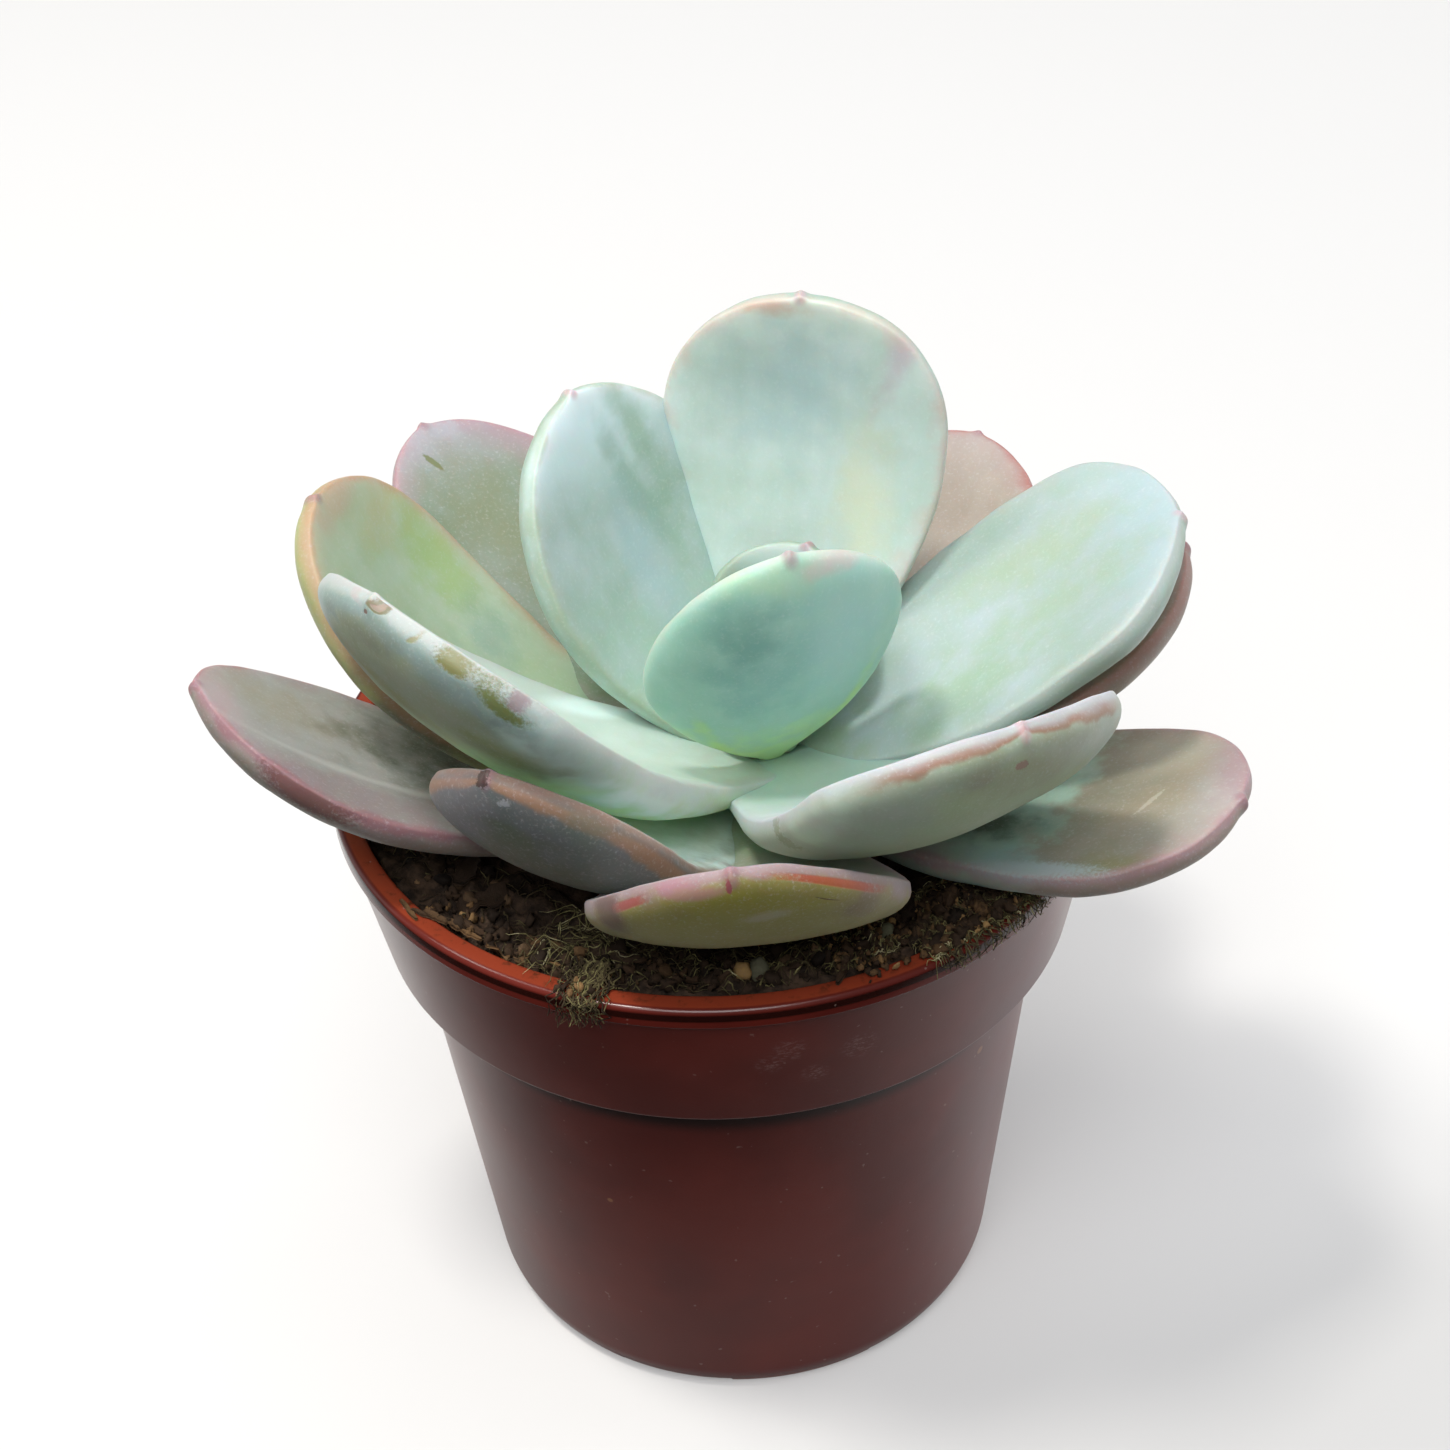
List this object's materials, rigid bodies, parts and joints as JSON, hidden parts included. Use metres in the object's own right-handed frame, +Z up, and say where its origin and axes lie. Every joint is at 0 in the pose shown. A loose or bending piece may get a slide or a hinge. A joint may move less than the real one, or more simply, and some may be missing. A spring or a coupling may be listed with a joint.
{
  "type": "potted echeveria laui hybrid",
  "caption": "Rosette of thick spoon-shaped succulent leaves on a short stem, standing in a soil-filled plastic nursery pot with a collar, rim and drained foot.",
  "frame": {"origin": "on the surface that the pot stands on, at the middle of the flat pad under the pot", "axes": "+Z up along the pot's axis; -Y towards the front of the plant, where the small upright bud leaf stands; +X to the viewer's right"},
  "size_m": [0.1066, 0.093, 0.1213],
  "materials": {
    "pot_plastic": "semi-gloss dark terracotta red-brown moulded plastic, brighter at the rim",
    "soil": "matte crumbly dark peat soil with bark chips and moss",
    "stem": "matte pale green-brown plant stem",
    "leaf_inner": "smooth fleshy leaf with a powdery mint-blue bloom",
    "leaf_outer": "smooth fleshy older leaf, grey-green with pink and tan flushes and a thin powdery bloom"
  },
  "bodies": {
    "root": {"pot": "pot_plastic", "soil": "soil", "stem": "stem", "leaf_heart_back": "leaf_inner", "leaf_heart_left": "leaf_inner", "leaf_heart_right": "leaf_inner", "leaf_bud_back": "leaf_inner", "leaf_bud_front": "leaf_inner", "leaf_middle_back_left": "leaf_inner", "leaf_middle_back": "leaf_inner", "leaf_middle_right": "leaf_inner", "leaf_middle_left": "leaf_inner", "leaf_middle_front_right": "leaf_inner", "leaf_outer_left": "leaf_outer", "leaf_outer_back_left": "leaf_outer", "leaf_outer_right": "leaf_outer", "leaf_outer_back_right": "leaf_outer", "leaf_outer_front_left": "leaf_outer", "leaf_low_front": "leaf_outer", "leaf_low_left": "leaf_outer", "leaf_low_right": "leaf_outer", "leaf_low_back": "leaf_outer"}
  },
  "joints": []
}
